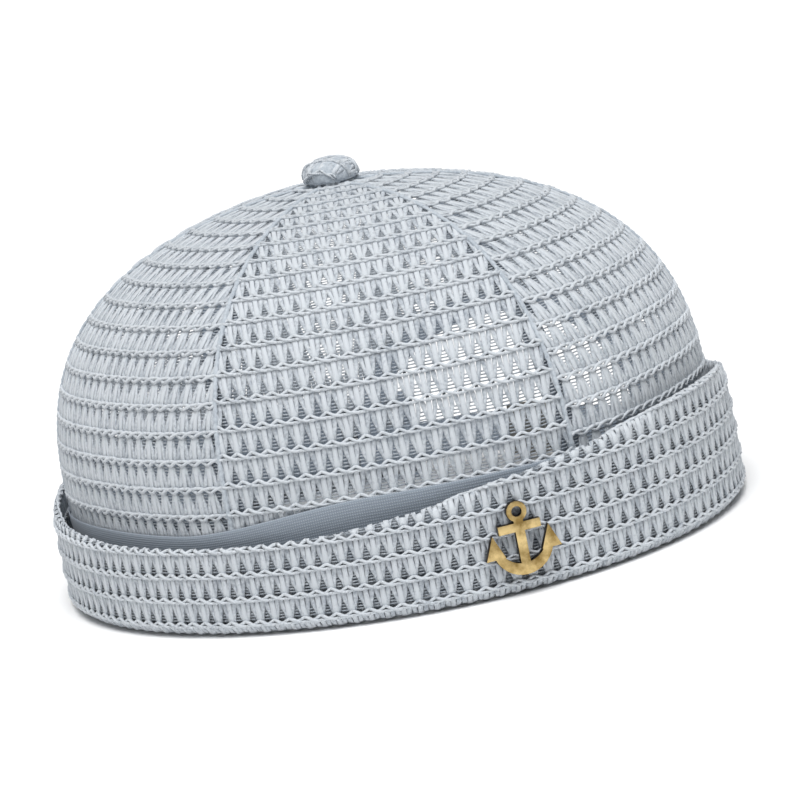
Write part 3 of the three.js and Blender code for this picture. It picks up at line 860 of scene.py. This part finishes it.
def make_foot_band():
    """Plain cloth over the net's lowest rows, which shows as a smooth strip above the cuff"""
    end = math.pi - math.asin((ARCH_HALF_WIDTH + BINDING_WIDTH + 3) / CROWN_HALF_WIDTH)
    shares = np.array([0, 0.3, 0.5, 0.7, 0.85, 0.98, 1, 0.98, 0])
    edge = (FOOT_BAND_FACE + FOOT_BAND_BACK) / 2
    lift = np.array([FOOT_BAND_FACE] * 6 + [edge] + [FOOT_BAND_BACK] * 2)
    sections = []
    angles = np.linspace(-end, end, BAND_SECTIONS)
    climb = np.interp(angles, FOOT_BAND_CLIMB, [0, 1, 1, 0])
    heights = FOOT_BAND_LOW + (FOOT_BAND_HIGH - FOOT_BAND_LOW) * climb ** 2 * (3 - 2 * climb)
    for angle, height in zip(angles, heights):
        sections.append(crown_point(angle, PANEL_BOTTOM + height * shares, lift))
    band = dress(loft("foot_band", sections), BAND_CLOTH, "plain_cloth")


for make in (make_panel, make_seam, make_tape):
    for number in range(PANEL_COUNT):
        make(number)
make_sweatband()
make_foot_band()


# Cuff
CUFF_END = math.pi - math.asin(CUFF_GAP_HALF_WIDTH / (CROWN_HALF_WIDTH + CUFF_STAND))


def cuff_height(angle):
    front_or_back = np.where(np.cos(angle) > 0, CUFF_HEIGHT_FRONT, CUFF_HEIGHT_BACK)
    left_or_right = np.where(np.sin(angle) > 0, CUFF_HEIGHT_LEFT, CUFF_HEIGHT_RIGHT)
    return front_or_back * np.cos(angle) ** 2 + left_or_right * np.sin(angle) ** 2


def arc(centre, radius, start, stop, count):
    turn = np.radians(np.linspace(start, stop, count))
    return [(centre[0] + radius * math.cos(value), centre[1] + radius * math.sin(value)) for value in turn]


def cuff_line(height):
    """Middle of the net in section: under the crown's foot, round the roll, up, over the fold and down"""
    roll = CUFF_ROLL - NET_SINK
    fold = (CUFF_THICKNESS - 2 * NET_SINK) / 2
    outside = CUFF_STAND - NET_SINK
    top = height - NET_SINK - fold
    line = [(-CUFF_TUCK, NET_SINK), (2, NET_SINK)]
    line += arc((CUFF_STAND - CUFF_ROLL, CUFF_ROLL), roll, -90, 0, 9)
    rise = np.linspace(CUFF_ROLL, top, 14)[1:-1]
    belly = CUFF_BELLY * np.sin((rise - CUFF_ROLL) / (top - CUFF_ROLL) * math.pi)
    lean = CUFF_LEAN * (rise - CUFF_ROLL) / (top - CUFF_ROLL)
    line += list(zip(outside + belly - lean, rise))
    line += arc((outside - CUFF_LEAN - fold, top), fold, 0, 180, 9)
    inside = outside - CUFF_LEAN - 2 * fold
    foot = CUFF_ROLL + CUFF_INNER_ROLL
    line += [(inside, height) for height in np.linspace(top, foot, 12)[1:]]
    line += arc((inside - CUFF_INNER_ROLL, foot - 1), CUFF_INNER_ROLL, 0, -90, 6)
    line += [(inside - CUFF_INNER_ROLL - 2, CUFF_ROLL - 1), (1, CUFF_ROLL - 1)]
    return np.array(line)


def make_cuff_surface():
    angles = np.linspace(-CUFF_END, CUFF_END, 181)
    steps = step_lengths(plan_point(angles, CUFF_STAND, 0))
    across = running(steps) - steps.sum() / 2
    columns = []
    ways = []
    flats = []
    for angle, place in zip(angles, across):
        line = cuff_line(cuff_height(angle))
        length = running(step_lengths(line))
        length += CUFF_ROLL - length[np.argmax(line[:, 0] > CUFF_STAND - NET_SINK - 1e-6)]
        way = unit(np.gradient(line, axis=0))
        out = plan_out(np.array(angle), CUFF_STAND)
        columns.append(plan_point(angle, line[:, 0], line[:, 1]))
        ways.append(out * way[:, 1, None] - np.array([0, 0, 1]) * way[:, 0, None])
        flats.append(np.stack([np.full(len(line), place), length], -1))
    return np.stack(columns, 1), np.stack(ways, 1), np.stack(flats, 1)


def make_cuff():
    points, ways, flats = make_cuff_surface()
    span = 2.1 * float(np.abs(flats).max())
    surface = make_surface("form_cuff", points, ways, flats, span)
    low = flats.reshape(-1, 2).min(0)
    high = flats.reshape(-1, 2).max(0)
    phase = (0.5, CUFF_FIRST_ROW / CUFF_ROW_HEIGHT)
    edges = np.round(np.linspace(low[0], high[0], 5) / MESH_WIDTH) * MESH_WIDTH
    for place, name in enumerate(["back_right", "front_right", "front_left", "back_left"]):
        start = (edges[place] if place else low[0], low[1])
        stop = (edges[place + 1] if place < 3 else high[0], high[1])
        net = lay_net(f"cuff_net_{name}", surface, span, start, stop, CUFF_ROW_HEIGHT, phase)
        trim(net)
        dress(net, NET_YARN, "net", "cuff")
    bpy.data.objects.remove(surface)


def make_cuff_hem(side):
    """A folded tape that closes the cuff's end at the gap in the back"""
    hem_angle = CUFF_HEM_WIDTH / (CROWN_HALF_WIDTH + CUFF_STAND)
    angles = side * np.linspace(CUFF_END - hem_angle, CUFF_END, 7)
    sections = []
    for step, angle in enumerate(angles):
        line = cuff_line(cuff_height(angle))
        way = unit(np.gradient(line, axis=0))
        out = np.stack([way[:, 1], -way[:, 0]], -1)
        at_edge = step in (0, len(angles) - 1)
        outer = line + out * (HEM_EDGE if at_edge else HEM_FACE)
        inner = line - out * HEM_EDGE
        outline = np.concatenate([outer, inner[::-1]])
        sections.append(plan_point(angle, outline[:, 0], outline[:, 1]))
    dress(loft(f"cuff_hem_{'left' if side > 0 else 'right'}", sections), TAPE_CLOTH, "net")


make_cuff()
make_cuff_hem(1)
make_cuff_hem(-1)


# Arch binding, strap and buckle
def arch_outline():
    """Places on the arch's edge, with the way out of the opening at each"""
    turn = np.linspace(0, math.pi, 61)
    arch = np.stack([np.cos(turn) * ARCH_HALF_WIDTH, STRAP_TOP + np.sin(turn) * ARCH_RISE], -1)
    out = unit(np.stack([np.cos(turn) / ARCH_HALF_WIDTH, np.sin(turn) / ARCH_RISE], -1))
    foot = BASE_HEIGHT + FOOT_LEAN * (GAP + BINDING_THICKNESS)
    legs = np.linspace(foot, STRAP_TOP, 8)[:-1]
    right = np.stack([np.full(len(legs), ARCH_HALF_WIDTH), legs], -1)
    left = np.stack([np.full(len(legs), -ARCH_HALF_WIDTH), legs[::-1]], -1)
    places = np.concatenate([right, arch, left])
    ways = np.concatenate([np.tile([1.0, 0.0], (len(legs), 1)), out, np.tile([-1.0, 0.0], (len(legs), 1))])
    return places, ways


def back_point(place, lift):
    """A point on the crown's back wall above a place in the view from behind"""
    length = length_at_height(place[..., 1])
    radius = np.interp(length, LENGTHS, RADII)
    angle = math.pi - np.arcsin(place[..., 0] / (CROWN_HALF_WIDTH * radius))
    return crown_point(angle, length, lift)


def make_binding():
    places, ways = arch_outline()
    wall = BINDING_THICKNESS
    out = GAP + wall
    inside = -NET_WALL - GAP - wall
    width = BINDING_WIDTH
    outline = [(width, GAP), (width, out - 0.2), (width - 0.4, out), (4, out), (1, out)]
    outline += [(0.3, out - 0.4), (0, 0)]
    outline += [(0, -NET_WALL), (0.3, inside + 0.4), (1, inside), (4, inside), (width - 0.4, inside)]
    outline += [(width, inside + 0.2), (width, -NET_WALL - GAP), (wall, -NET_WALL - GAP), (wall, GAP)]
    grow = np.array([value for value, _ in outline])
    lift = np.array([value for _, value in outline])
    sections = [back_point(place + grow[:, None] * way, lift) for place, way in zip(places, ways)]
    binding = dress(loft("arch_tape", sections), TAPE_CLOTH, "plain_cloth", "arch_binding")


def strap_section(angle, outline):
    """An outline of heights and lifts across the back, at an angle from its middle"""
    lengths = length_at_height(np.array([height for height, _ in outline]))
    lift = np.array([value for _, value in outline])
    return crown_point(math.pi + angle, lengths, lift)


def round_edges(piece, width, angle):
    bevel = piece.modifiers.new("edges", "BEVEL")
    bevel.width = width * MM
    bevel.segments = 3
    bevel.limit_method = "ANGLE"
    bevel.angle_limit = math.radians(angle)


def make_strap():
    end = math.asin((CUFF_GAP_HALF_WIDTH + STRAP_TUCK) / CROWN_HALF_WIDTH)
    inner = STRAP_LIFT
    outer = inner + STRAP_THICKNESS
    middle = (STRAP_FOOT + STRAP_TOP) / 2
    outline = [(STRAP_FOOT + 0.5, inner), (STRAP_FOOT, inner + 0.6), (STRAP_FOOT, outer - 0.6)]
    outline += [(STRAP_FOOT + 0.5, outer), (middle, outer), (STRAP_TOP - 0.5, outer)]
    outline += [(STRAP_TOP, outer - 0.6), (STRAP_TOP, inner + 0.6)]
    outline += [(STRAP_TOP - 0.5, inner), (middle, inner)]
    sections = [strap_section(angle, outline) for angle in np.linspace(-end, end, 90)]
    strap = dress(loft("strap_webbing", sections), STRAP_CLOTH, "plain_cloth", "back_strap")


def make_buckle():
    """A flat sleeve with rounded edges, bent to the crown, that the strap runs through"""
    room = 2 * GAP
    inner = STRAP_LIFT - room
    outer = STRAP_LIFT + STRAP_THICKNESS + room
    low = STRAP_FOOT - room
    high = STRAP_TOP + room
    half = BUCKLE_LENGTH / 2 / CROWN_HALF_WIDTH
    spread = np.linspace(-half, half, 13)
    sections = []
    for grow, angles in [(BUCKLE_WALL, spread), (0, spread[::-1])]:
        foot = low - grow
        top = high + grow
        back = inner - grow
        face = outer + grow
        corners = [(foot, back), (top, back), (top, face), (foot, face)]
        sections += [strap_section(angle, corners) for angle in angles]
    faces = grid_faces(len(sections), 4, ring=True)
    last = (len(sections) - 1) * 4
    for corner in range(4):
        beside = (corner + 1) % 4
        faces.append((corner, last + corner, last + beside, beside))
    piece = make_piece("buckle_sleeve", np.array(sections).reshape(-1, 3), faces)
    recalculated(piece.data)
    round_edges(piece, METAL_EDGE, 50)
    dress(piece, STEEL, "dark_metal", "strap_buckle")


make_binding()
make_strap()
make_buckle()


# Button
def button_profile(share):
    """Radius and height of the button's face, from its middle at share 0 to its foot at share 1"""
    radii = [0, 3, 5.6, 7.4, 8.6, 9.1, 9.0, 8.3]
    heights = [7.2, 7.1, 6.6, 5.7, 4.2, 2.4, 1.0, 0.35]
    known = np.linspace(0, 1, len(radii))
    radius = np.interp(share, known, radii) * BUTTON_RADIUS / 9.2
    return radius, np.interp(share, known, heights) * BUTTON_HEIGHT / 7.2


def turned_about_axis(radius, turn, height):
    """Rings about the upright line, from a row of radii and heights and a row of turns"""
    x = radius[:, None] * np.sin(turn)
    y = -radius[:, None] * np.cos(turn)
    return np.stack(np.broadcast_arrays(x, y, height[:, None]), -1)


def button_grid(rings, columns):
    share = np.linspace(0.02, 1, rings)
    turn = np.linspace(0, 2 * math.pi, columns)
    radius, height = button_profile(share)
    slope = unit(np.stack([np.gradient(radius), np.gradient(height)], -1))
    out = np.stack([-slope[:, 1], slope[:, 0]], -1)
    radius = radius - out[:, 0] * BUTTON_SINK
    height = height - out[:, 1] * BUTTON_SINK
    points = turned_about_axis(radius, turn, height + CROWN_HEIGHT + GAP)
    ways = turned_about_axis(out[:, 0], turn, out[:, 1])
    stride = np.hypot(np.diff(radius), np.diff(height))
    length = radius[0] + running(stride)
    return points, ways, turned_about_axis(length, turn, 0 * length)[..., :2]


def make_button():
    points, ways, flat = button_grid(24, 73)
    surface = make_surface("form_button", points, ways, flat, BUTTON_SPAN)
    low = flat.reshape(-1, 2).min(0)
    high = flat.reshape(-1, 2).max(0)
    net = lay_net("button_net", surface, BUTTON_SPAN, low, high, BUTTON_ROW_HEIGHT, BUTTON_PHASE)
    bpy.data.objects.remove(surface)
    trim(net)
    dress(net, NET_YARN, "net", "top_button")
    radius, height = button_profile(np.linspace(0, 1, 16)[1:])
    radius = np.concatenate([[0.01], radius * 0.95, [STEM_RADIUS, STEM_RADIUS - 0.2]])
    height = np.concatenate([[6.4], height - 0.4, [-0.5, -STEM_LENGTH]])
    turn = np.linspace(0, 2 * math.pi, 48, endpoint=False)
    core = turned_about_axis(radius, turn, height)
    core[1:-2, :, :2] *= (1 + 0.03 * np.sin(3 * turn) + 0.02 * np.sin(5 * turn + 1))[:, None]
    core += [0, 0, CROWN_HEIGHT + GAP]
    dress(loft("button_core", core), SEAM_YARN, "net", "top_button")


make_button()


# Emblem
def make_emblem():
    """The solid's own shape with its flat faces joined and its edges rounded"""
    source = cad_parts["emblem"]
    piece = bpy.data.objects.new("anchor_badge", source.data.copy())
    bpy.context.scene.collection.objects.link(piece)
    shell = bmesh.new()
    shell.from_mesh(piece.data)
    bmesh.ops.remove_doubles(shell, verts=shell.verts, dist=1e-6)
    bmesh.ops.dissolve_limit(shell, angle_limit=0.02, verts=shell.verts, edges=shell.edges)
    shell.to_mesh(piece.data)
    shell.free()
    round_edges(piece, METAL_EDGE, 40)
    piece.data.shade_smooth()
    dress(piece, BRASS, "aged_brass", "emblem")


make_emblem()
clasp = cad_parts["emblem_clasp"]
clasp.data.materials.clear()
clasp.data.materials.append(STEEL)


# Floor, light and camera
FLOOR_HALF = 15000
SUN_STRENGTH = 3.5
SUN_SPREAD = math.radians(50)
SUN_TURN = (math.radians(16), math.radians(10), 0)
SKY_STRENGTH = 0.22
FILL_POWER = 0.08
FILL_HEIGHT = 75
FILL_RADIUS = 30


def make_floor():
    half = FLOOR_HALF * MM
    corners = [(-half, -half, 0), (half, -half, 0), (half, half, 0), (-half, half, 0)]
    mesh = bpy.data.meshes.new("floor")
    mesh.from_pydata(corners, [], [(0, 1, 2, 3)])
    mesh.materials.append(BOARD)
    floor = bpy.data.objects.new("floor", mesh)
    bpy.context.scene.collection.objects.link(floor)


def make_light():
    """A wide soft light from above, an even sky, and a weak fill inside the crown"""
    world = bpy.data.worlds.new("studio")
    world.use_nodes = True
    sky = world.node_tree.nodes["Background"].inputs
    sky["Color"].default_value = linear("#ffffff")
    sky["Strength"].default_value = SKY_STRENGTH
    bpy.context.scene.world = world
    lamp = bpy.data.lights.new("softbox", "SUN")
    lamp.energy = SUN_STRENGTH
    lamp.angle = SUN_SPREAD
    softbox = bpy.data.objects.new("softbox", lamp)
    softbox.rotation_euler = SUN_TURN
    bpy.context.scene.collection.objects.link(softbox)
    bulb = bpy.data.lights.new("fill", "POINT")
    bulb.energy = FILL_POWER
    bulb.shadow_soft_size = FILL_RADIUS * MM
    fill = bpy.data.objects.new("fill", bulb)
    fill.location = (AXIS + [0, 0, FILL_HEIGHT]) * MM
    bpy.context.scene.collection.objects.link(fill)


VIEW_AZIMUTH = math.radians(31.64)
VIEW_ELEVATION = math.radians(10.91)
VIEW_ROLL = math.radians(-11.5)
VIEW_DISTANCE = 1100
VIEW_LENS = 156.9
VIEW_HEIGHT = 60
VIEW_ASIDE = 10.09
VIEW_ABOVE = -13.7
NEAR_CLIP = 50
FAR_CLIP = 60000


def make_camera():
    """Looks from the left of the front, rolled so that the cap leans as it does in the picture"""
    level = math.cos(VIEW_ELEVATION)
    x = math.sin(VIEW_AZIMUTH) * level
    y = -math.cos(VIEW_AZIMUTH) * level
    back = np.array([x, y, math.sin(VIEW_ELEVATION)])
    right = np.array([math.cos(VIEW_AZIMUTH), math.sin(VIEW_AZIMUTH), 0])
    up = np.cross(back, right)
    across = math.cos(VIEW_ROLL) * right + math.sin(VIEW_ROLL) * up
    above = math.cos(VIEW_ROLL) * up - math.sin(VIEW_ROLL) * right
    target = AXIS + np.array([0, 0, VIEW_HEIGHT])
    place = target + back * VIEW_DISTANCE + across * VIEW_ASIDE + above * VIEW_ABOVE
    camera_data = bpy.data.cameras.new("camera")
    camera_data.lens = VIEW_LENS
    camera_data.sensor_width = 36
    camera_data.clip_start = NEAR_CLIP * MM
    camera_data.clip_end = FAR_CLIP * MM
    camera = bpy.data.objects.new("camera", camera_data)
    turn = Matrix((across, above, back)).transposed().to_4x4()
    camera.matrix_world = Matrix.Translation(place * MM) @ turn
    bpy.context.scene.collection.objects.link(camera)
    bpy.context.scene.camera = camera


make_floor()
make_light()
make_camera()
bpy.context.scene.view_settings.view_transform = "Standard"
bpy.data.objects.remove(NET_MESH)
